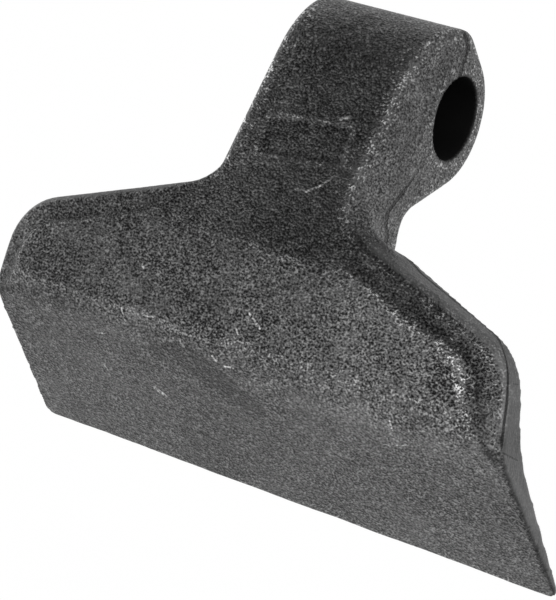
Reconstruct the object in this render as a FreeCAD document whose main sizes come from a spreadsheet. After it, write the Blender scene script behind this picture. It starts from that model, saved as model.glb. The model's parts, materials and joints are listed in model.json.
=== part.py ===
"""Hammer blade of a mulcher: one steel forging with a drilled eye, a neck and a bent, T-shaped blade.

Millimetres. X runs along the bore, Z is up and the blade's hollow side faces +Y. The origin is the
centre of the bore, and the cutting edge hangs straight below it.
"""
import math
import os

import FreeCAD, Part
import Sketcher

NODE = "hammer_blade"

doc = FreeCAD.newDocument("mulcher_hammer")
dims = doc.addObject("Spreadsheet::Sheet", "dims")

DIMENSIONS = {
    # the eye and its pivot bore
    "bore_diameter": 20.5,
    "eye_width": 40.0,
    "eye_radius": 17.3,
    "eye_radius_drop": 0.4,
    "eye_radius_ahead": 1.6,
    "eye_back_angle": 52.0,
    "eye_crown": 3.6,
    "eye_top_radius": 24.0,
    "eye_peak_radius": 7.0,
    # the neck, whose front face leans forward on its way down
    "neck_front": 28.5,
    "neck_angle": 25.0,
    "neck_crest_half": 17.4,
    "neck_side_flat": 11.0,
    "neck_side_radius": 40.0,
    "neck_back": 13.0,
    "neck_back_angle": 27.0,
    "neck_waist_drop": 9.35,
    "neck_waist_radius": 20.0,
    "neck_foot": 68.0,
    "throat_angle": 22.0,
    "throat_radius": 5.0,
    # the blade seen from the side: upright above its bend, sloping back to the cutting edge below it
    "blade_back": 35.0,
    "trimmed_depth": 5.5,
    "rim_depth": 8.0,
    "body_rise": 4.5,
    "front_height": 19.3,
    "face_angle": 41.1,
    "back_angle": 47.5,
    "edge_land": 1.1,
    "body_bend_radius": 24.0,
    "rim_bend_radius": 20.0,
    "back_bend_radius": 38.0,
    "brow_radius": 26.0,
    # the blade seen from the front
    "blade_width": 150.0,
    "side_angle": 7.0,
    "shoulder_drop": 18.7,
    "shoulder_angle": 20.0,
    "shoulder_radius": 16.0,
    "neck_corner_radius": 11.0,
    "neck_root_angle": 14.0,
    "corner_fill_radius": 12.0,
    # the web behind the shoulders, which thins towards the sides and the bend
    "web_back": 25.8,
    "web_drop_angle": 8.5,
    "web_side_angle": 6.1,
    "web_root": 1.0,
    # the rim's trimmed edge and the raised body on it
    "edge_corner_radius": 3.0,
    "rim_draft": 30.0,
    "body_top": 23.0,
    "body_inset": 4.5,
    "body_corner_radius": 14.0,
    "body_draft": 45.0,
    # rounding of the forged edges
    "neck_edge_radius": 2.2,
    "body_edge_radius": 3.0,
}
for row, (alias, value) in enumerate(DIMENSIONS.items(), start=1):
    dims.set(f"A{row}", alias)
    dims.set(f"B{row}", str(value))
    dims.setAlias(f"B{row}", alias)
doc.recompute()


def size(alias):
    """A cell's value as a plain number."""
    return float(dims.get(alias))


def named(text):
    """An expression in which @name stands for the sheet's cell of that name."""
    return text.replace("@", "dims.")


def evaluate(text):
    """The value of an expression of the sheet's cells."""
    result = dims.evalExpression(named(text))
    return float(getattr(result, "Value", result))


def bind(thing, path, text):
    """Ties a property of an object to the sheet."""
    thing.setExpression(path, named(text))


# The sketches' local x and y are Y and Z in a side view, X and Z in a front view, X and Y from above.
SIDE = FreeCAD.Rotation(FreeCAD.Matrix(0, 0, 1, 0, 1, 0, 0, 0, 0, 1, 0, 0, 0, 0, 0, 1))
FRONT = FreeCAD.Rotation(FreeCAD.Matrix(1, 0, 0, 0, 0, 0, -1, 0, 0, 1, 0, 0, 0, 0, 0, 1))
ABOVE = FreeCAD.Rotation()


def sketch(name, view, corners):
    """A closed outline of (x, y) or (x, y, radius) corners, all expressions tied to the sheet."""
    outline = doc.addObject("Sketcher::SketchObject", name)
    outline.Placement = FreeCAD.Placement(FreeCAD.Vector(), view)
    points = [FreeCAD.Vector(evaluate(corner[0]), evaluate(corner[1]), 0) for corner in corners]
    count = len(points)
    starts = list(points)
    ends = list(points)
    arcs = []
    for i, corner in enumerate(corners):
        if len(corner) < 3:
            continue
        radius = evaluate(corner[2])
        into = (points[i] - points[i - 1]).normalize()
        out = (points[(i + 1) % count] - points[i]).normalize()
        turn = into.getAngle(out)
        reach = radius * math.tan(turn / 2)
        ends[i] = points[i] - into * reach
        starts[i] = points[i] + out * reach
        middle = (ends[i] + starts[i]) * 0.5
        bisector = (middle - points[i]).normalize()
        centre = points[i] + bisector * (radius**2 + reach**2) ** 0.5
        arcs.append((i, Part.Arc(ends[i], centre - bisector * radius, starts[i]), into.cross(out).z > 0))
    for i in range(count):
        outline.addGeometry(Part.LineSegment(starts[i], ends[(i + 1) % count]), False)
    rounded = {}
    for i, arc, left_turn in arcs:
        rounded[i] = (outline.addGeometry(arc, False), left_turn)
    for i in range(count):
        before = (i - 1) % count
        if i not in rounded:
            outline.addConstraint(Sketcher.Constraint("Coincident", before, 2, i, 1))
            spot = (i, 1)
        else:
            arc, left_turn = rounded[i]
            first, last = (1, 2) if left_turn else (2, 1)
            outline.addConstraint(Sketcher.Constraint("Tangent", before, 2, arc, first))
            outline.addConstraint(Sketcher.Constraint("Tangent", arc, last, i, 1))
            corner = outline.addGeometry(Part.Point(points[i]), True)
            outline.addConstraint(Sketcher.Constraint("PointOnObject", corner, 1, before))
            outline.addConstraint(Sketcher.Constraint("PointOnObject", corner, 1, i))
            index = outline.addConstraint(Sketcher.Constraint("Radius", arc, evaluate(corners[i][2])))
            bind(outline, f"Constraints[{index}]", corners[i][2])
            spot = (corner, 1)
        for kind, text in (("DistanceX", corners[i][0]), ("DistanceY", corners[i][1])):
            index = outline.addConstraint(Sketcher.Constraint(kind, -1, 1, *spot, evaluate(text)))
            bind(outline, f"Constraints[{index}]", text)
    return outline


def prism(name, outline, direction, ahead, behind="0", taper="0"):
    """A solid prism on an outline; the taper acts on the length ahead."""
    solid = doc.addObject("Part::Extrusion", name)
    solid.Base = outline
    solid.DirMode = "Custom"
    solid.Dir = FreeCAD.Vector(*direction)
    solid.Solid = True
    bind(solid, "LengthFwd", ahead)
    bind(solid, "LengthRev", behind)
    bind(solid, "TaperAngle", taper)
    return solid


def boolean(kind, name, *solids):
    """A Part::MultiFuse or Part::MultiCommon of solids."""
    result = doc.addObject(f"Part::Multi{kind}", name)
    result.Shapes = list(solids)
    result.Refine = True
    return result


def rounded(name, base, radius, chosen):
    """Rounds the edges of a solid that a rule picks by their middle point and their two faces."""
    doc.recompute()
    shape = base.Shape
    result = doc.addObject("Part::Fillet", name)
    result.Base = base
    result.Edges = [(i, size(radius), size(radius)) for i, edge in enumerate(shape.Edges, start=1)
                    if chosen(middle_of(edge), normals_at(shape, edge))]
    return result


def middle_of(edge):
    """The middle point of an edge."""
    return edge.valueAt((edge.FirstParameter + edge.LastParameter) / 2)


def normals_at(shape, edge):
    """The normals of an edge's faces at its middle."""
    spot = middle_of(edge)
    faces = shape.ancestorsOfType(edge, Part.Face)
    return [face.normalAt(*face.Surface.parameter(spot)) for face in faces]


def across(name, outline):
    """A side-view outline pushed out to both sides, wider than the blade."""
    return prism(name, outline, (1, 0, 0), "@blade_width", "@blade_width")


# Lines of the side view: the neck's front leans by neck_angle, the face rises from the edge.
EYE_TOP = "(@eye_radius + @eye_crown)"
LEAN = "tan(@neck_angle * 1 deg)"
RISE = "tan(@face_angle * 1 deg)"
PARTING_FRONT = "(@blade_back + @trimmed_depth)"
RIM_FRONT = "(@blade_back + @rim_depth)"
BODY_FRONT = f"({RIM_FRONT} + @body_rise)"
EDGE_DROP = f"(({BODY_FRONT} - @neck_front) / {LEAN} + @front_height + {BODY_FRONT} * {RISE})"
LAND_Y = "@edge_land * sin(@face_angle * 1 deg)"
LAND_Z = f"(@edge_land * cos(@face_angle * 1 deg) - {EDGE_DROP})"
BARREL_Y = "(@eye_radius * sin(@throat_angle * 1 deg) - @eye_radius_ahead)"
BARREL_Z = "(-@eye_radius_drop - @eye_radius * cos(@throat_angle * 1 deg))"
THROAT_Z = f"({BARREL_Z} - ({BARREL_Y} + @neck_back) * tan(@throat_angle * 1 deg))"
WAIST_Z = f"({THROAT_Z} - @neck_waist_drop)"
CORE_Y = f"-(@blade_back + {PARTING_FRONT}) / 2"
SLOPE = "tan(@shoulder_angle * 1 deg)"
DRAFT = "tan(@body_draft * 1 deg)"
TOP_HALF = f"@neck_crest_half - @neck_crest_half * {SLOPE} * tan(@neck_root_angle * 1 deg)"


def neck():
    """Eye and neck: the side view's outline, cut to a wedge that is narrower at its front."""
    outline = sketch("neck_side", SIDE, [
        (f"{EYE_TOP} * {LEAN} - @neck_front", EYE_TOP, "@eye_top_radius"),
        (f"-{PARTING_FRONT}", f"(@neck_front - {PARTING_FRONT}) / {LEAN}"),
        (CORE_Y, f"{RIM_FRONT} * {RISE} - {EDGE_DROP}"),
        (f"-@neck_back - (@neck_foot + {WAIST_Z}) * tan(@neck_back_angle * 1 deg)", "-@neck_foot"),
        ("-@neck_back", WAIST_Z, "@neck_waist_radius"),
        ("-@neck_back", THROAT_Z, "@throat_radius"),
        (BARREL_Y, BARREL_Z),
        ("@eye_radius * cos(@eye_back_angle * 1 deg) - @eye_radius_ahead",
         "@eye_radius * sin(@eye_back_angle * 1 deg) - @eye_radius_drop"),
        (f"(@eye_radius - ({EYE_TOP} + @eye_radius_drop) * sin(@eye_back_angle * 1 deg))"
         " / cos(@eye_back_angle * 1 deg) - @eye_radius_ahead", EYE_TOP, "@eye_peak_radius"),
    ])
    body = across("neck_body", outline)
    barrel = doc.addObject("Part::Cylinder", "eye_barrel")
    bind(barrel, "Radius", "@eye_radius")
    bind(barrel, "Height", "@blade_width")
    barrel.Placement.Rotation = FreeCAD.Rotation(FreeCAD.Vector(0, 1, 0), 90)
    bind(barrel, "Placement.Base.x", "-@blade_width / 2")
    bind(barrel, "Placement.Base.y", "-@eye_radius_ahead")
    bind(barrel, "Placement.Base.z", "-@eye_radius_drop")
    full = boolean("Fuse", "neck_full", body, barrel)
    ahead = "@neck_front + @neck_side_flat"
    ahead_half = ("(@neck_crest_half - @neck_side_flat * (@eye_width / 2 - @neck_crest_half)"
                  " / (@neck_front - @neck_side_flat))")
    wedge_outline = sketch("neck_wedge", ABOVE, [
        ("@eye_width / 2", "2 * @eye_radius"),
        ("-@eye_width / 2", "2 * @eye_radius"),
        ("-@eye_width / 2", "-@neck_side_flat", "@neck_side_radius"),
        (f"-{ahead_half}", f"-({ahead})"),
        (ahead_half, f"-({ahead})"),
        ("@eye_width / 2", "-@neck_side_flat", "@neck_side_radius"),
    ])
    wedge = prism("neck_sides", wedge_outline, (0, 0, 1), f"2 * {EDGE_DROP}", f"2 * {EDGE_DROP}")
    bind(wedge, "Dir.y", LEAN)
    blank = boolean("Common", "neck", full, wedge)

    def end_face_edge(spot, normals):
        sideways = [abs(normal.x) > 0.9 for normal in normals]
        hidden = spot.y < size("neck_edge_radius") - size("blade_back") and spot.z < -size("shoulder_drop")
        return sum(sideways) == 1 and not hidden

    return rounded("neck_rounded", blank, "neck_edge_radius", end_face_edge), body


def front_outline(name, inset, top_half, corner_radius):
    """The blade's T outline in front view, drawn inside the real one by an inset."""
    shoulder = f"(@shoulder_drop + {inset} / cos(@shoulder_angle * 1 deg))"
    side = "tan(@side_angle * 1 deg)"
    half = f"(@blade_width / 2 - {inset} / cos(@side_angle * 1 deg))"
    corner_x = f"(({half} - ({EDGE_DROP} - {shoulder}) * {side}) / (1 - {SLOPE} * {side}))"
    corner_z = f"(-{shoulder} - {corner_x} * {SLOPE})"
    low = f"({EDGE_DROP} + {RIM_FRONT})"
    low_x = f"({half} + {RIM_FRONT} * {side})"
    neck_z = f"(-{shoulder} - {top_half} * {SLOPE})"
    right = [
        (f"{top_half} + {neck_z} * tan(@neck_root_angle * 1 deg)", "0"),
        (top_half, neck_z, f"@neck_corner_radius + {inset}"),
        (corner_x, corner_z, corner_radius),
        (low_x, f"-{low}"),
    ]
    return sketch(name, FRONT, mirrored(right))


def mirrored(right):
    """A closed outline from the corners of its right half, given from top to bottom."""
    return [(f"-({corner[0]})",) + corner[1:] for corner in reversed(right)] + right


def rim():
    """The bent plate with the blade's whole outline; ahead of the parting line its side is drafted."""
    outline = sketch("rim_side", SIDE, [
        (f"-@neck_front - @shoulder_drop * {LEAN}", "-@shoulder_drop"),
        (f"-{RIM_FRONT}", f"(@neck_front - {RIM_FRONT}) / {LEAN}"),
        (f"-{RIM_FRONT}", f"{RIM_FRONT} * {RISE} - {EDGE_DROP}", "@rim_bend_radius"),
        ("0", f"-{EDGE_DROP}"),
        (LAND_Y, LAND_Z),
        ("-@blade_back", f"{LAND_Z} + (@blade_back + {LAND_Y}) * tan(@back_angle * 1 deg)",
         "@back_bend_radius"),
        ("-@blade_back", "-@shoulder_drop"),
    ])
    plate = across("rim_plate", outline)
    front = front_outline("rim_front_view", "0", "@neck_crest_half", "@shoulder_radius")
    bind(front, "Placement.Base.y", f"-{PARTING_FRONT}")
    trim = prism("rim_trim", front, (0, -1, 0), f"2 * ({RIM_FRONT} - {PARTING_FRONT})",
                 f"2 * {PARTING_FRONT}", "-@rim_draft")
    blank = boolean("Common", "rim", plate, trim)

    def edge_corner(spot, normals):
        low = spot.z < -evaluate(EDGE_DROP) + size("edge_land")
        return low and abs(spot.x) > size("blade_width") / 2 - size("edge_land")

    return rounded("rim_rounded", blank, "edge_corner_radius", edge_corner), trim


def body(rim_trim):
    """The raised middle of the blade, with sloping sides; below its bend it runs into the face."""
    outline = sketch("body_side", SIDE, [
        (f"-@neck_front - @body_top * {LEAN}", "-@body_top"),
        (f"-{BODY_FRONT}", f"(@neck_front - {BODY_FRONT}) / {LEAN}", "@brow_radius"),
        (f"-{BODY_FRONT}", f"{BODY_FRONT} * {RISE} - {EDGE_DROP}", "@body_bend_radius"),
        ("-@blade_back", f"@blade_back * {RISE} - {EDGE_DROP}"),
        (CORE_Y, f"{RIM_FRONT} * {RISE} - {EDGE_DROP}"),
        (CORE_Y, "-@body_top"),
    ])
    block = across("body_block", outline)
    depth = f"({RIM_FRONT} - @blade_back)"
    front = front_outline("body_front_view", f"(@body_inset - {depth} * {DRAFT})",
                          f"(@neck_crest_half - @body_inset + {depth} * {DRAFT})",
                          f"@body_corner_radius + {depth} * {DRAFT}")
    bind(front, "Placement.Base.y", "-@blade_back")
    trim = prism("body_trim", front, (0, -1, 0), f"{BODY_FRONT} - @blade_back + @body_inset", "@body_inset",
                 "-@body_draft")
    blank = boolean("Common", "body_blank", block, trim)

    def crest(spot, normals):
        facing = [normal.y < -0.5 and abs(normal.x) < 1e-6 for normal in normals]
        return sum(facing) == 1 and all(normal.y < -0.5 for normal in normals)

    raised = rounded("body_rounded", blank, "body_edge_radius", crest)
    return boolean("Common", "body", raised, rim_trim)


def flare(neck_body):
    """The neck's spread into the shoulders: the concave corners, filled as far as the neck is deep."""
    spread = "(@eye_width / 2 - @neck_crest_half) / (@neck_front - @neck_side_flat)"
    neck_z = f"(-@shoulder_drop - @neck_crest_half * {SLOPE})"
    reach = "(@eye_width / 2 + @corner_fill_radius)"
    halves = []
    for side, sign in (("right", ""), ("left", "-")):
        outline = sketch(f"flare_{side}_front_view", FRONT, [
            ("0", "-@shoulder_drop"),
            (f"{sign}({TOP_HALF})", "-@shoulder_drop"),
            (f"{sign}@neck_crest_half", neck_z, "@neck_corner_radius"),
            (f"{sign}{reach}", f"(-@shoulder_drop - {reach} * {SLOPE})"),
            (f"{sign}@neck_crest_half", "-@neck_foot"),
            ("0", "-@neck_foot"),
        ])
        bind(outline, "Placement.Base.y", f"-{PARTING_FRONT}")
        half = prism(f"flare_{side}", outline, (0, 1, 0), f"{PARTING_FRONT} - @neck_back")
        bind(half, "Dir.x", f"{sign}{spread}")
        halves.append(half)
    spreading = boolean("Fuse", "flare_spread", *halves)
    plan = sketch("flare_plan", ABOVE, mirrored([
        ("@eye_width / 2", "-@neck_back"),
        ("@eye_width / 2", "-@blade_back", "@corner_fill_radius"),
        (f"{reach} + @corner_fill_radius", "-@blade_back"),
        (f"{reach} + @corner_fill_radius", f"-{PARTING_FRONT}"),
    ]))
    fill = prism("flare_fill", plan, (0, 0, -1), f"{EDGE_DROP}")
    return boolean("Common", "flare", spreading, fill, neck_body)


def web(rim_trim):
    """The blade's extra thickness behind its shoulders, which fades towards the sides and the bend."""
    low_back = "(-@web_back - (@neck_foot - @shoulder_drop) * tan(@web_drop_angle * 1 deg))"
    outline = sketch("web_side", SIDE, [
        ("-@web_back", "-@shoulder_drop"),
        (f"-{PARTING_FRONT}", "-@shoulder_drop"),
        (f"-{PARTING_FRONT}", "-@neck_foot"),
        (low_back, "-@neck_foot"),
    ])
    halves = []
    for side, way in (("right", 1), ("left", -1)):
        half = prism(f"web_{side}", outline, (way, 0, 0), "@blade_width / 2")
        bind(half, "Dir.y", "-tan(@web_side_angle * 1 deg)")
        halves.append(half)
    room = across("web_room", sketch("web_room_side", SIDE, [
        ("0", "0"),
        ("-@blade_back - @web_root", "0"),
        ("-@blade_back - @web_root", "-@neck_foot - @web_root"),
        ("0", "-@neck_foot - @web_root"),
    ]))
    return boolean("Common", "web", boolean("Fuse", "web_halves", *halves), room, rim_trim)


def drilled(solid):
    """The pivot bore, through both end faces of the eye."""
    drill = doc.addObject("Part::Cylinder", "bore")
    bind(drill, "Radius", "@bore_diameter / 2")
    bind(drill, "Height", "2 * @eye_width")
    drill.Placement.Rotation = FreeCAD.Rotation(FreeCAD.Vector(0, 1, 0), 90)
    bind(drill, "Placement.Base.x", "-@eye_width")
    result = doc.addObject("Part::Cut", NODE)
    result.Base = solid
    result.Tool = drill
    result.Label = NODE
    return result


rim_solid, rim_trim = rim()
neck_solid, neck_body = neck()
blade = (rim_solid, body(rim_trim), web(rim_trim))
hammer = drilled(boolean("Fuse", "forging", neck_solid, *blade, flare(neck_body)))
doc.recompute()

for thing in doc.Objects:
    wrong = [state for state in thing.State if state in ("Invalid", "Error")]
    if wrong:
        raise RuntimeError(f"{thing.Name}: {wrong}")
    if hasattr(thing, "Shape") and (thing.Shape.isNull() or not thing.Shape.isValid()):
        raise RuntimeError(f"{thing.Name}: shape is null or invalid")

os.makedirs("parts", exist_ok=True)
hammer.Shape.exportStep(f"parts/{NODE}.step")
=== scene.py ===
"""The hammer blade of a mulcher: one dark steel forging, hung level in a white light tent.

Metres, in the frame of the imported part: X along the bore, Z up, the bulging face towards -Y.
"""
import json
import math

import bmesh
import bpy
import numpy as np
from mathutils import Matrix, Quaternion, Vector, noise
from mathutils.bvhtree import BVHTree


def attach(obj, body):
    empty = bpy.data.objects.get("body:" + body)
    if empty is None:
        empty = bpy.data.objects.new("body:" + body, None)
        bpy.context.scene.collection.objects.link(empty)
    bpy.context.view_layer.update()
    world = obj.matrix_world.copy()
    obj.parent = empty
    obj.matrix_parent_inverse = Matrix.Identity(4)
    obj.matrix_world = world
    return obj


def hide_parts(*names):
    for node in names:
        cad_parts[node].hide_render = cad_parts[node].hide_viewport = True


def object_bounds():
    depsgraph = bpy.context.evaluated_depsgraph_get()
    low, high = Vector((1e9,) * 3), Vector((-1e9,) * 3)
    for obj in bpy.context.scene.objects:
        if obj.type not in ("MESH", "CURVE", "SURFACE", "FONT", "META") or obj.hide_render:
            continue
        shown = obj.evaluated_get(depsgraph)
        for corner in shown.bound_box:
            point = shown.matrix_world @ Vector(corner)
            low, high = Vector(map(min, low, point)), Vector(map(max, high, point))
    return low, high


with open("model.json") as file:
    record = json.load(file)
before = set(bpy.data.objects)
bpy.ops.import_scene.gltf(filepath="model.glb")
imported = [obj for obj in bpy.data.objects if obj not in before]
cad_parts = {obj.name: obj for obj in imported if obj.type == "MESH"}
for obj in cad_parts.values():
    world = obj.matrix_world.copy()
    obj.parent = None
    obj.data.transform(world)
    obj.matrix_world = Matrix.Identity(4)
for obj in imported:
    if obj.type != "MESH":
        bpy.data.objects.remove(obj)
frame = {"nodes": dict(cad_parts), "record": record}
cad_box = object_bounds()
MM = 0.001


# The forging: steel hammered hot between two dies, so its corners are soft and its faces uneven.
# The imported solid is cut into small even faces, which are pulled back onto its own surface.
FACE_SIZE = 0.705 * MM
solid = frame["nodes"]["hammer_blade"]
blank = bpy.data.objects.new("blank", solid.data.copy())
bpy.context.scene.collection.objects.link(blank)
joined = bmesh.new()
joined.from_mesh(blank.data)
bmesh.ops.remove_doubles(joined, verts=joined.verts, dist=0.001 * MM)
joined.to_mesh(blank.data)
die = BVHTree.FromBMesh(joined)
joined.free()

even_faces = blank.modifiers.new("even_faces", "REMESH")
even_faces.mode = "VOXEL"
even_faces.voxel_size = FACE_SIZE
evened = blank.evaluated_get(bpy.context.evaluated_depsgraph_get())
skin = bpy.data.meshes.new_from_object(evened)
skin.name = "forging"
bpy.data.objects.remove(blank)


def read(items, name, width, kind=float):
    """One property of all the mesh's vertices or edges, as an array with a row for each."""
    values = np.empty(len(items) * width, kind)
    items.foreach_get(name, values)
    return values.reshape(-1, width)


edges = read(skin.edges, "vertices", 2, int)
place = read(skin.vertices, "co", 3)
neighbours = np.bincount(edges.ravel(), minlength=len(place))[:, None]


def softened(values):
    """Each vertex's value moved halfway to the mean of its neighbours."""
    here, there = edges.T
    total = np.empty_like(values)
    for axis, column in enumerate(values.T):
        total[:, axis] = np.bincount(here, column[there], len(values))
        total[:, axis] += np.bincount(there, column[here], len(values))
    return (values + total / neighbours) / 2


def ramp(values, low, high):
    """0 below low, 1 above high, with a smooth rise between; low may be the larger."""
    t = np.clip((values - low) / (high - low), 0, 1)
    return t * t * (3 - 2 * t)


def outward():
    """The vertices' normals, once the mesh has taken their places."""
    skin.vertices.foreach_set("co", place.ravel())
    skin.update()
    return read(skin.vertex_normals, "vector", 3)


def near_path(path):
    """1 on a path of (x, z, half width) points of the front view, falling to 0 at its half width."""
    nearest = np.full(len(place), 9.0)
    for (x0, z0, width0), (x1, z1, width1) in zip(path, path[1:]):
        run = np.array((x1 - x0, z1 - z0))
        ahead = np.stack((place[:, 0] / MM - x0, place[:, 2] / MM - z0), axis=1)
        share = np.clip(ahead @ run / (run @ run), 0, 1)
        apart = np.linalg.norm(ahead - share[:, None] * run, axis=1)
        nearest = np.minimum(nearest, apart / (width0 + (width1 - width0) * share))
    return ramp(nearest, 1, 0.55)


def waves(length, seed):
    """Smooth noise over the surface, about -1 to 1, with waves of a length."""
    shift = Vector((seed, -seed, 2 * seed))
    return np.array([noise.noise(Vector(spot) / length + shift) for spot in place])


BORE_RADIUS = frame["record"]["mounts"][0]["dims"]["r_mm"] * MM
SOFT_PASSES = 18
GIVEN_BACK = 1.04
SOFT_AT_BORE = 0.15
SOFT_AT_EDGE = 0.25
EDGE_HEIGHTS = (-100 * MM, -90 * MM)
from_bore = np.hypot(place[:, 1], place[:, 2]) - BORE_RADIUS
place = np.array([die.find_nearest(Vector(spot))[0] for spot in place])
in_bore = np.abs(from_bore) < FACE_SIZE / 2
soft = SOFT_AT_BORE + (1 - SOFT_AT_BORE) * ramp(from_bore, 0.5 * MM, 3 * MM)
soft *= SOFT_AT_EDGE + (1 - SOFT_AT_EDGE) * ramp(place[:, 2], *EDGE_HEIGHTS)
for step in range(SOFT_PASSES):
    place += (softened(place) - place) * soft[:, None]
    place -= (softened(place) - place) * soft[:, None] * GIVEN_BACK
spin = np.hypot(place[:, 1], place[:, 2])
place[in_bore, 1:] *= (BORE_RADIUS / spin[in_bore])[:, None]

# The throat's foot runs into the shoulders in a hollow round.
THROAT_FOOT = np.array((21.0, -25.0, -27.0)) * MM
THROAT_REACH = (14.0 * MM, 6.0 * MM)
THROAT_PASSES = 120
from_throat = np.linalg.norm(np.abs(place * (1, 0, 0)) + place * (0, 1, 1) - THROAT_FOOT, axis=1)
hollowed = ramp(from_throat, *THROAT_REACH)
for step in range(THROAT_PASSES):
    place += (softened(place) - place) * hollowed[:, None]


# The die's parting line: excess metal squeezed out here as flash, and was trimmed off.
# It climbs from the blade's sides over the shoulders and up the eye's end faces.
NECK_LINE_Z = np.array((-28.2, -26.3, -23.4, -19.1, -14.7, -7.0, 0.0, 10.7, 17.0, 19.2, 20.9)) * MM
NECK_LINE_Y = np.array((-20.5, -22.4, -22.8, -18.5, -14.3, -8.0, -3.5, -3.1, -2.1, -3.8, -5.0)) * MM
SHOULDER_LINE_X = np.array((20.3, 24.0, 30.2, 38.0, 54.6, 61.1, 66.0, 68.0)) * MM
SHOULDER_LINE_Y = np.array((0.0, -26.0, -31.4, -35.2, -35.8, -37.0, -40.1, -41.3)) * MM
# Over the top of the eye it lies a little further back.
BEHIND_CROWN = 2.7 * MM
BEND_Z = -63 * MM
x, y, z = place.T
normal = outward()
from_middle = np.abs(x)
facing = -normal[:, 1]
side_facing = np.abs(normal[:, 0])
neck_line = np.interp(z, NECK_LINE_Z, NECK_LINE_Y)
neck_line += BEHIND_CROWN * ramp(from_middle, 19.5 * MM, 14 * MM) * ramp(z, 17.5 * MM, 20 * MM)
shoulder_line = np.interp(from_middle, SHOULDER_LINE_X, SHOULDER_LINE_Y)
behind_line = y - np.minimum(neck_line, shoulder_line)
sideways = np.maximum(ramp(side_facing, 0.35, 0.7), ramp(normal[:, 2], 0.6, 0.85))
above_fold = ramp(z, BEND_Z - 3 * MM, BEND_Z)
below_fold = 1 - above_fold

# It is broad on the eye and round the throat, fine down the blade's sides, and faint under the bore.
on_eye = ramp(z, 4 * MM, 9 * MM)
at_throat = ramp(z, -15 * MM, -18 * MM) * ramp(from_middle, 40 * MM, 30 * MM)
under_bore = ramp(z, -1 * MM, -4 * MM) * ramp(z, -16 * MM, -12 * MM)
down_side = ramp(side_facing, 0.5, 0.8) * ramp(z, -38 * MM, -44 * MM)
line_sharpness = 1 - 0.4 * np.maximum(on_eye, at_throat) + 0.8 * down_side
on_line = sideways * above_fold * (1 - 0.65 * under_bore)

# Trimming left a smooth strip behind the line and a smooth chamfer in front of it. Below the bend the
# strip is the blade's whole side, and a line of painted shade runs down its front corner.
shoulders = ramp(from_middle, 22 * MM, 30 * MM) * ramp(z, BEND_Z, BEND_Z + 6 * MM)
trimmed = sideways * ramp(behind_line, 0, 0.4 * MM) * ramp(from_middle, 24 * MM, 30 * MM)
trimmed = np.maximum(trimmed, ramp(side_facing, 0.6, 0.8) * ramp(z, BEND_Z, BEND_Z - 3 * MM))
beside_line = ramp(facing, 0.68, 0.55) * shoulders
chamfer = beside_line * ramp(facing, 0.15, 0.4)
by_rim = ramp(behind_line, -6 * MM, -3 * MM) * shoulders * ramp(facing, 0.5, 0.7)
fold_ends = ramp(from_middle, 61 * MM, 65 * MM) * ramp(z, -55 * MM, -61 * MM)
low_corner = ramp(side_facing, 0.04, 0.2) * below_fold
corner_groove_and_shade = low_corner * ramp(side_facing, 0.9, 0.7)


# The field on the neck's front: the die pressed it in as a shallow, bare rectangle with a soft border,
# which leans a little with the neck. Its border is worn lighter, and a band of painted shade lies just inside
# it.
NECK_TILT = math.radians(25)
PANEL_MIDDLE = (0.4 * MM, -12.2 * MM)
PANEL_HALF = (10.6 * MM, 4.6 * MM)
PANEL_TILT = math.radians(7)
PANEL_DEPTH = 0.45 * MM
along = z / math.cos(NECK_TILT)
beside_panel = np.stack((x - PANEL_MIDDLE[0], along - PANEL_MIDDLE[1]))
tilt_cos = math.cos(PANEL_TILT)
tilt_sin = math.sin(PANEL_TILT)
beside_panel = np.abs(np.array(((tilt_cos, tilt_sin), (-tilt_sin, tilt_cos))) @ beside_panel)
inside_panel = (beside_panel - np.array(PANEL_HALF)[:, None]).max(axis=0)
neck_front = ramp(normal[:, 1], -0.8, -0.88)
panel = ramp(inside_panel, 0.6 * MM, -0.6 * MM) * neck_front
panel_border_and_shade = ramp(np.abs(inside_panel - 0.6 * MM), 1.0 * MM, 0.2 * MM)
# Painted shade: a dark band just inside the border, where the field drops.
panel_border_and_shade -= 0.7 * ramp(np.abs(inside_panel + 0.7 * MM), 0.9 * MM, 0.2 * MM)
panel_border_and_shade *= neck_front
place -= normal * (panel * PANEL_DEPTH)[:, None]


# The channel between the raised body and the rim gets painted shade on one side, while the crest beside it
# is rubbed bright. Both follow the body's foot.
CHANNEL = ((22.0, -27.5, 1.0), (36.0, -34.3, 2.0), (41.0, -36.3, 2.2), (47.5, -39.6, 2.9), (52.5, -42.0, 3.0),
           (57.5, -44.2, 2.5), (60.2, -46.3, 1.8), (61.5, -49.0, 1.8), (64.2, -58.0, 1.9), (66.8, -64.5, 1.2))
RUBBED = ((52.5, -43.8, 1.6), (55.5, -46.5, 2.2), (58.0, -49.5, 1.8), (60.0, -56.0, 1.0))
channel = near_path(CHANNEL)
rubbed = near_path(RUBBED)

# The body's slopes on the left are made evenly bright with painted light.
left_side = ramp(x, 0, -18 * MM)
left_slope = ramp(facing, 0.98, 0.88) * ramp(facing, 0.35, 0.5) * left_side
left_slope *= ramp(z, BEND_Z, BEND_Z + 6 * MM)

# Under the bend a dark stain of thick scale runs down towards the middle of the edge.
STAIN = ((-22.2, -68.3, 3.5), (-16.0, -67.4, 4.5), (-10.6, -68.5, 5.0), (-5.1, -71.5, 5.0), (2.0, -75.0, 3.5))
stain = near_path(STAIN)


# The hammered skin: shallow waves and small lumps everywhere but in the machined bore and on the trimmed
# sides. Each wave has its length and its height.
WAVES = ((16 * MM, 0.16 * MM), (6 * MM, 0.07 * MM), (2.2 * MM, 0.035 * MM))
machined = ramp(from_bore, 0.4 * MM, 1.5 * MM)
for seed, (length, height) in enumerate(WAVES, start=1):
    place += normal * (waves(length, seed) * height * machined * (1 - sideways * 0.8))[:, None]

low, high = np.array(cad_box)
place = np.clip(place, low, high)
normal = outward()
side_facing = np.abs(normal[:, 0])

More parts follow.
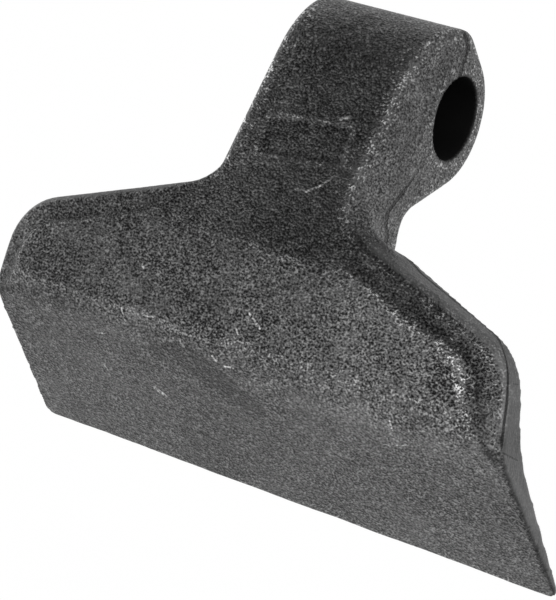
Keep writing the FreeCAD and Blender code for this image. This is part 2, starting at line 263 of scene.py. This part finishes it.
# How far each spot stands out of its surroundings: the raised spots are the ones that get rubbed.
FAR_PASSES = 70
even = place.copy()
for step in range(FAR_PASSES):
    even = softened(even)
raised = ((place - even) * normal).sum(axis=1) / MM

# The scale is lighter towards the blade's right and along its bend, partly its own tone and partly painted
# light; painted shade darkens the neck's foot, the eye's top and its end faces, by the way they face.
on_blade = ramp(z, -32 * MM, -44 * MM) * facing
above_bend = ramp(z, BEND_Z - 11 * MM, BEND_Z - 3 * MM)
along_bend = ramp(np.abs(z - BEND_Z), 10 * MM, 3 * MM)
to_right = ramp(x, -15 * MM, 50 * MM)
upper = 0.22 + 0.22 * ramp(x, -40 * MM, 0) + 0.78 * to_right
lower = 0.4 * to_right - 0.06
along_bend *= 0.25 + 0.65 * ramp(x, -45 * MM, -5 * MM)
tone_and_painted_light = np.maximum(lower + (upper - lower) * above_bend, along_bend) * on_blade
neck_foot = ramp(z, -42 * MM, -32 * MM) * ramp(z, -18 * MM, -26 * MM)
tone_and_painted_light -= 0.25 * neck_foot * facing + 0.25 * ramp(normal[:, 2], 0.4, 0.8)
tone_and_painted_light -= 0.12 * ramp(side_facing, 0.6, 0.9) * ramp(z, -32 * MM, -26 * MM)
left_half = ramp(x, 5 * MM, -25 * MM) * ramp(z, -20 * MM, -30 * MM)


def keep(name, values):
    """Stores a number for each vertex, for the material to read."""
    skin.attributes.new(name, "FLOAT", "POINT").data.foreach_set("value", values.astype(np.float32))


keep("behind_line", behind_line * line_sharpness / MM)
keep("on_line", on_line)
keep("trimmed", trimmed)
keep("beside_line", beside_line)
keep("corner_groove_and_shade", corner_groove_and_shade)
keep("by_rim", by_rim)
# Painted light: the chamfer in front of the line and the body's left slopes are made lighter.
keep("lit_slope", np.maximum(chamfer * 0.65, left_slope * 1.1))
keep("unworn", np.maximum(left_half, np.maximum(low_corner, fold_ends)))
# Painted light: the blade's sides below the fold are made lighter.
keep("side_below", ramp(side_facing, 0.75, 0.9) * below_fold)
keep("tone_and_painted_light", tone_and_painted_light)
keep("neck", ramp(z, -30 * MM, -22 * MM) * ramp(facing, 0.4, 0.65))
keep("stain", stain)
keep("channel", channel)
keep("rubbed", rubbed)
keep("panel_border_and_shade", panel_border_and_shade)
keep("raised", raised)
keep("in_bore", ramp(from_bore, 0.6 * MM, 0.1 * MM))
for face in skin.polygons:
    face.use_smooth = True
forging = bpy.data.objects.new("forging", skin)
bpy.context.scene.collection.objects.link(forging)


# Its finish: dark grey forging scale, grainy where the die pressed it and rubbed bright on the corners, with
# painted light and shade in its tone.
class Field:
    """An output of a node, on which arithmetic adds Math nodes."""

    def __init__(self, tree, socket=None):
        self.tree = tree
        self.socket = socket

    def add_node(self, kind, settings=None, inputs=None, output=0):
        """Any node: its settings first, then the values or links of its sockets."""
        node = self.tree.nodes.new(kind)
        for name, value in (settings or {}).items():
            setattr(node, name, value)
        for name, value in (inputs or {}).items():
            if isinstance(value, Field):
                self.tree.links.new(value.socket, node.inputs[name])
            else:
                node.inputs[name].default_value = value
        return Field(self.tree, node.outputs[output] if len(node.outputs) else None)

    def maths(self, operation, *values):
        return self.add_node("ShaderNodeMath", {"operation": operation}, dict(enumerate(values)))

    def __add__(self, other):
        return self.maths("ADD", self, other)

    def __sub__(self, other):
        return self.maths("SUBTRACT", self, other)

    def __rsub__(self, other):
        return self.maths("SUBTRACT", other, self)

    def __mul__(self, other):
        return self.maths("MULTIPLY", self, other)

    def rise(self, low, high):
        """0 at low and 1 at high, with a smooth rise between."""
        return self.add_node("ShaderNodeMapRange", {"interpolation_type": "SMOOTHSTEP"},
                             {"Value": self, "From Min": low, "From Max": high})

    __radd__ = __add__
    __rmul__ = __mul__


scale = bpy.data.materials.new("forged_steel")
scale.use_nodes = True
scale.node_tree.nodes.clear()
maker = Field(scale.node_tree)
spot = maker.add_node("ShaderNodeTexCoord", output=3)

# The scale's grains are drawn out along the way the metal flowed; the trimming's striae stand upright.
FLOW = Vector((0.4830, -0.8618, 0.1549)).to_track_quat("Z", "Y").to_euler()
FLOW_STRETCH = 2.0


def grain(length, detail, roughness=0.5, turn=FLOW, stretch=FLOW_STRETCH):
    """Noise with grains of a length, about 0 to 1, stretched along the turned Z axis."""
    stretched = maker.add_node("ShaderNodeMapping", {"vector_type": "TEXTURE"},
                               {"Vector": spot, "Rotation": turn, "Scale": (1, 1, stretch)})
    return maker.add_node("ShaderNodeTexNoise", inputs={
        "Vector": stretched, "Scale": 1 / length, "Detail": detail, "Roughness": roughness})


def stored(name):
    """A number that the mesh stores for each vertex."""
    return maker.add_node("ShaderNodeAttribute", {"attribute_name": name}, output=2)


def stroke(start, end, width):
    """1 on a straight mark between two points in millimetres, falling to 0 beside it."""
    first = Vector(start) * MM
    run = Vector(end) * MM - first
    ahead = maker.add_node("ShaderNodeVectorMath", {"operation": "SUBTRACT"}, {0: spot, 1: first})
    share = maker.add_node("ShaderNodeVectorMath", {"operation": "DOT_PRODUCT"},
                           {0: ahead, 1: run / run.length_squared}, output=1)
    share = share.maths("MINIMUM", share.maths("MAXIMUM", share, 0.0), 1.0)
    foot = maker.add_node("ShaderNodeVectorMath", {"operation": "SCALE"}, {0: run, "Scale": share})
    apart = maker.add_node("ShaderNodeVectorMath", {"operation": "DISTANCE"}, {0: ahead, 1: foot}, output=1)
    return apart.rise(width * MM, width * 0.4 * MM)


mottle = grain(20 * MM, 2) - 0.5
patches = grain(5 * MM, 2) - 0.5
clusters = grain(2.2 * MM, 1) - 0.5
coarse = grain(1.0 * MM, 1, 0.6) - 0.5
fine = grain(0.5 * MM, 1, 0.6) - 0.5
striae = grain(0.45 * MM, 2, 0.5, (0, 0, 0), 12) - 0.5
line = stored("behind_line") + patches * 0.3
off_line = line.maths("ABSOLUTE", line)
# A shallow dent along the parting line, darkened with painted shade; below the bend the front corner's line
# joins it.
groove_and_shade = off_line.rise(0.75, 0.35) * stored("on_line")
groove_and_shade = groove_and_shade.maths("MAXIMUM", groove_and_shade, stored("corner_groove_and_shade") * 0.8)
strip = stored("beside_line")
smooth = stored("trimmed").maths("MAXIMUM", stored("trimmed"), strip * 0.85)
bore = stored("in_bore")
rough = (1 - smooth * 0.85) * (1 - bore)
raised = stored("raised")
neck = stored("neck")
channel = stored("channel")
rubbed = stored("rubbed")
panel_border_and_shade = stored("panel_border_and_shade")

# Its scratches, each with its two ends and its width: bright ones cut through the scale, dark ones
# are cracks.
BRIGHT_MARKS = (
    ((-29.6, -24.4, -80.2), (-27.3, -23.0, -81.4), 1.05),
    ((3.4, -45.5, -51.4), (6.9, -45.5, -53.9), 0.35),
    ((0.4, -45.5, -55.3), (1.7, -45.5, -56.7), 0.35),
    ((-31.0, -45.1, -59.7), (-30.3, -43.2, -62.8), 0.28),
    ((-41.3, -37.0, -69.2), (-38.6, -37.9, -68.4), 0.38),
    ((-2.6, -40.7, -65.9), (-0.3, -40.9, -65.6), 0.42),
    ((-5.6, -42.2, -64.2), (-4.9, -41.3, -65.3), 0.45),
    ((-27.7, -45.5, -48.4), (-27.0, -45.5, -49.0), 0.4),
    ((-24.4, -45.0, -59.7), (-21.8, -45.2, -59.4), 0.28),
    ((-14.6, -42.9, -63.2), (-13.7, -42.1, -64.3), 0.4),
    ((-44.1, -26.4, -78.5), (-43.7, -25.1, -79.6), 0.4),
    ((38.0, -32.9, -72.8), (44.5, -35.4, -70.6), 0.28),
    ((42.2, -41.3, -65.3), (42.1, -38.9, -67.6), 0.35),
    ((3.9, -38.7, -21.8), (6.9, -38.7, -21.8), 0.35),
    ((6.9, -38.7, -21.8), (9.4, -37.7, -19.8), 0.4),
    ((9.4, -37.7, -19.8), (11.5, -36.5, -17.2), 0.4),
    ((6.8, -30.6, -4.5), (8.5, -30.2, -3.6), 0.6),
    ((17.2, -18.2, 15.3), (17.0, -16.5, 16.8), 0.5),
)
DARK_MARKS = (
    ((70.3, -40.6, -64.0), (70.8, -32.6, -66.2), 0.3),
    ((67.6, -41.0, -48.9), (68.3, -36.0, -49.3), 0.2),
    ((68.9, -12.2, -90.8), (72.6, -12.6, -90.5), 0.5),
    ((15.4, -18.0, 15.8), (15.8, -16.6, 17.0), 0.7),
)
bright = sum(stroke(*mark) for mark in BRIGHT_MARKS) * (1 + (coarse + fine) * 2.5)
dark = sum(stroke(*mark) for mark in DARK_MARKS)

height = (coarse * 0.9 + fine * 0.6 + clusters * 0.5) * rough + striae * smooth * 0.25 - groove_and_shade * 0.6
bump = maker.add_node("ShaderNodeBump", inputs={"Strength": 1.0, "Distance": 0.45 * MM, "Height": height})

SCALE_GREY = 0.096
SPECK_GREY = 0.17
RUBBED_GREY = 0.07
SCRATCH_GREY = 0.3
DARKEST_GREY = 0.012
by_rim = stored("by_rim")
kept_scale = (1 - by_rim * 0.7) * (1 - stored("unworn") * 0.85)
border = panel_border_and_shade.maths("MAXIMUM", panel_border_and_shade, 0.0)
worn = (raised.rise(0.0, 0.7) * (1 + neck * 0.6) + rubbed * 1.9 + border * 0.9) * kept_scale
specks = (coarse + fine + clusters * 0.5).rise(0.14, 0.32) * (0.3 + worn * 1.2) * rough
# Painted shade: spots lower than their surroundings are darkened a little, and made duller.
hollow = raised.rise(-0.1, -0.8)
uneven = (grain(9 * MM, 1) * 1.2 + 0.4) * (1 - neck * 0.25) * (1 - by_rim * 0.35) * rough
grains = (clusters * 0.6 + coarse * 1.3 + fine * 4.8) * uneven
shade = 1 + mottle * 1.2 + patches * 0.9 + grains + striae * smooth * 0.8
shade = shade + raised.rise(0.1, 0.9) * (0.35 + neck * 0.3) * kept_scale + panel_border_and_shade * 0.5 - neck * 0.07
tone = SCALE_GREY * shade + specks * SPECK_GREY + rubbed * RUBBED_GREY + bright * SCRATCH_GREY
# Painted light on the chamfer and the body's left slopes, and painted shade along the parting line's dent.
tone = tone * (1 + stored("lit_slope") * 0.6) * (1 - groove_and_shade * 0.8)
# Painted shade in the hollows and along the channel.
tone = tone * (1 - hollow * 0.1) * (1 - channel * 0.42)
stained = (stored("stain") + patches * 1.5).rise(0.35, 0.95) * stored("stain").rise(0.0, 0.3)
# Painted light and shade in the blade's tone, and painted light on the blade's sides below the fold.
tone = tone * (1 + stored("tone_and_painted_light") * 0.58) * (1 + by_rim * 0.1) * (1 + stored("side_below") * 0.15)
tone = tone * (1 - stained * 0.42)
# Painted shade: the inside of the bore is made near black.
tone = tone * (1 - bore * 0.87) * (1 - dark * 0.6)
tone = tone.maths("MAXIMUM", tone, DARKEST_GREY)
grey = maker.add_node("ShaderNodeCombineColor", inputs={"Red": tone, "Green": tone, "Blue": tone})
dull = 0.42 + patches * 0.2 - specks * 0.2 + hollow * 0.15 + bore * 0.3
steel = maker.add_node("ShaderNodeBsdfPrincipled", inputs={
    "Base Color": grey, "Metallic": 0.75, "Roughness": dull, "Normal": bump})
maker.add_node("ShaderNodeOutputMaterial", inputs={"Surface": steel})
skin.materials.clear()
skin.materials.append(scale)

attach(forging, "root")
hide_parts("hammer_blade")


# The camera: a long lens, turned to the right of the blade's front and rolled to set the neck across it.
TO_CAMERA = Vector((0.4830, -0.8618, 0.1549))
CAMERA_ROLL = math.radians(13.09)
CAMERA_DISTANCE = 0.6211
LOOKED_AT = Vector((-0.00793, -0.01381, -0.05206))
camera_data = bpy.data.cameras.new("camera")
camera_data.lens = 155.23
camera_data.sensor_width = 36
camera = bpy.data.objects.new("camera", camera_data)
aim = TO_CAMERA.to_track_quat("Z", "Y") @ Quaternion((0, 0, 1), CAMERA_ROLL)
camera.matrix_world = Matrix.Translation(LOOKED_AT + TO_CAMERA * CAMERA_DISTANCE) @ aim.to_matrix().to_4x4()
bpy.context.scene.collection.objects.link(camera)
bpy.context.scene.camera = camera


# The light tent: white cloth all round and a bright floor, with a dark gap above and in front of the hammer.
TENT_LIGHT = 1.0
TOP_LIGHT = 0.7
GAP_LIGHT = 0.0
TO_GAP = (-0.29, -0.51, 0.81)
GAP_EDGE = (0.66, 0.91)
tent = bpy.data.worlds.new("tent")
tent.use_nodes = True
tent.node_tree.nodes.clear()
cloth = Field(tent.node_tree)
seen = cloth.add_node("ShaderNodeLightPath", output=0)
direction = cloth.add_node("ShaderNodeTexCoord", output=0)


def share_along(way):
    """How far a ray runs along a direction, from -1 to 1."""
    return cloth.add_node("ShaderNodeVectorMath", {"operation": "DOT_PRODUCT"},
                          {0: direction, 1: way}, output=1)


upwards = share_along((0, 0, 1))
to_gap = share_along(TO_GAP)
cloth_light = TENT_LIGHT - upwards.rise(0.0, 0.5) * (TENT_LIGHT - TOP_LIGHT)
lit = cloth_light - to_gap.rise(*GAP_EDGE) * (TOP_LIGHT - GAP_LIGHT)
shown = lit * (1 - seen) + seen
back_cloth = cloth.add_node("ShaderNodeBackground", inputs={"Color": (1, 1, 1, 1), "Strength": shown})
cloth.add_node("ShaderNodeOutputWorld", inputs={"Surface": back_cloth})
bpy.context.scene.world = tent

# The floor: a pale sheet below the hanging hammer.
FLOOR_DROP = 0.09
FLOOR_HALF = 3.0
FLOOR_GLOW = 1.08
GLOW_SEEN = 0.88
GLOW_REFLECTED = 0.72
sheet_mesh = bpy.data.meshes.new("floor")
floor_z = cad_box[0][2] - FLOOR_DROP
corners = [(i * FLOOR_HALF, j * FLOOR_HALF, floor_z) for i, j in ((-1, -1), (1, -1), (1, 1), (-1, 1))]
sheet_mesh.from_pydata(corners, [], [(0, 1, 2, 3)])
floor = bpy.data.objects.new("floor", sheet_mesh)
bpy.context.scene.collection.objects.link(floor)
pale = bpy.data.materials.new("pale_floor")
pale.use_nodes = True
pale.node_tree.nodes.clear()
sheet = Field(pale.node_tree)
camera_ray = sheet.add_node("ShaderNodeLightPath", output=0)
glossy_ray = sheet.add_node("ShaderNodeLightPath", output=3)
matt = sheet.add_node("ShaderNodeBsdfDiffuse", inputs={"Color": (0.8, 0.8, 0.8, 1)})
glow = sheet.add_node("ShaderNodeEmission", inputs={"Color": (1, 1, 1, 1), "Strength": FLOOR_GLOW})
glowing = camera_ray * GLOW_SEEN + glossy_ray * GLOW_REFLECTED
mixed = sheet.add_node("ShaderNodeMixShader", inputs={0: glowing, 1: matt, 2: glow})
sheet.add_node("ShaderNodeOutputMaterial", inputs={"Surface": mixed})
sheet_mesh.materials.append(pale)

bpy.context.scene.view_settings.view_transform = "Standard"
